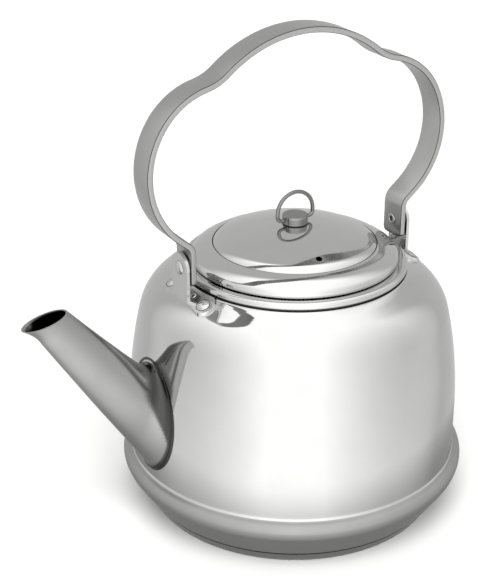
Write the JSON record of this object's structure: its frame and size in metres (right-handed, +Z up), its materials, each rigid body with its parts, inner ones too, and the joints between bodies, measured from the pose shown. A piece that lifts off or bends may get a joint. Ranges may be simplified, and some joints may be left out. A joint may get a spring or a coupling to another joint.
{
  "type": "camping kettle",
  "caption": "Stainless steel camping kettle with a bulged foot, a straight oval spout, a swinging flat bail, and a lift-off lid with a wire ring.",
  "frame": {"origin": "centre of the resting face of the base", "axes": "+Z up; the spout points along -X; the bail stands in the XZ plane and turns about an axis along X"},
  "size_m": [0.2382, 0.18, 0.2518],
  "materials": {
    "polished_steel": "mirror-polished stainless steel",
    "satin_steel": "satin stainless steel strap",
    "ear_steel": "bright rolled stainless sheet",
    "rivet_steel": "plain stainless rivets and washers",
    "turned_steel": "turned stainless steel",
    "wire_steel": "drawn bright wire",
    "brushed_base": "brushed stainless base cap",
    "base_alloy": "plain aluminium heat-spreading core"
  },
  "bodies": {
    "kettle": {"body_shell": "polished_steel", "base_core": "base_alloy", "base_cap": "brushed_base", "spout": "polished_steel", "front_ear": "ear_steel", "back_ear": "ear_steel", "front_foot_rivets": "rivet_steel", "back_foot_rivets": "rivet_steel", "front_tack_rivets": "rivet_steel", "back_tack_rivets": "rivet_steel", "front_pivot_rivet": "rivet_steel", "back_pivot_rivet": "rivet_steel", "front_washer": "rivet_steel", "back_washer": "rivet_steel"},
    "bail": {"bail_strap": "satin_steel"},
    "lid": {"lid_shell": "polished_steel", "lid_collar": "polished_steel", "lid_stud": "turned_steel", "stud_washer": "rivet_steel"},
    "ring": {"lid_ring": "wire_steel"}
  },
  "joints": [
    {"name": "bail_swing", "type": "hinge", "parent": "kettle", "child": "bail", "pos_m": [0, 0, 0.1408], "axis": [1, 0, 0], "range_deg": [-109, 109]},
    {"name": "lid_lift", "type": "slide", "parent": "kettle", "child": "lid", "axis": [0, 0, 1], "range_m": [0, 0.03]},
    {"name": "ring_swing", "type": "hinge", "parent": "lid", "child": "ring", "pos_m": [0, 0, 0.1531], "axis": [1, 0, 0], "range_deg": [-94, 94]}
  ]
}
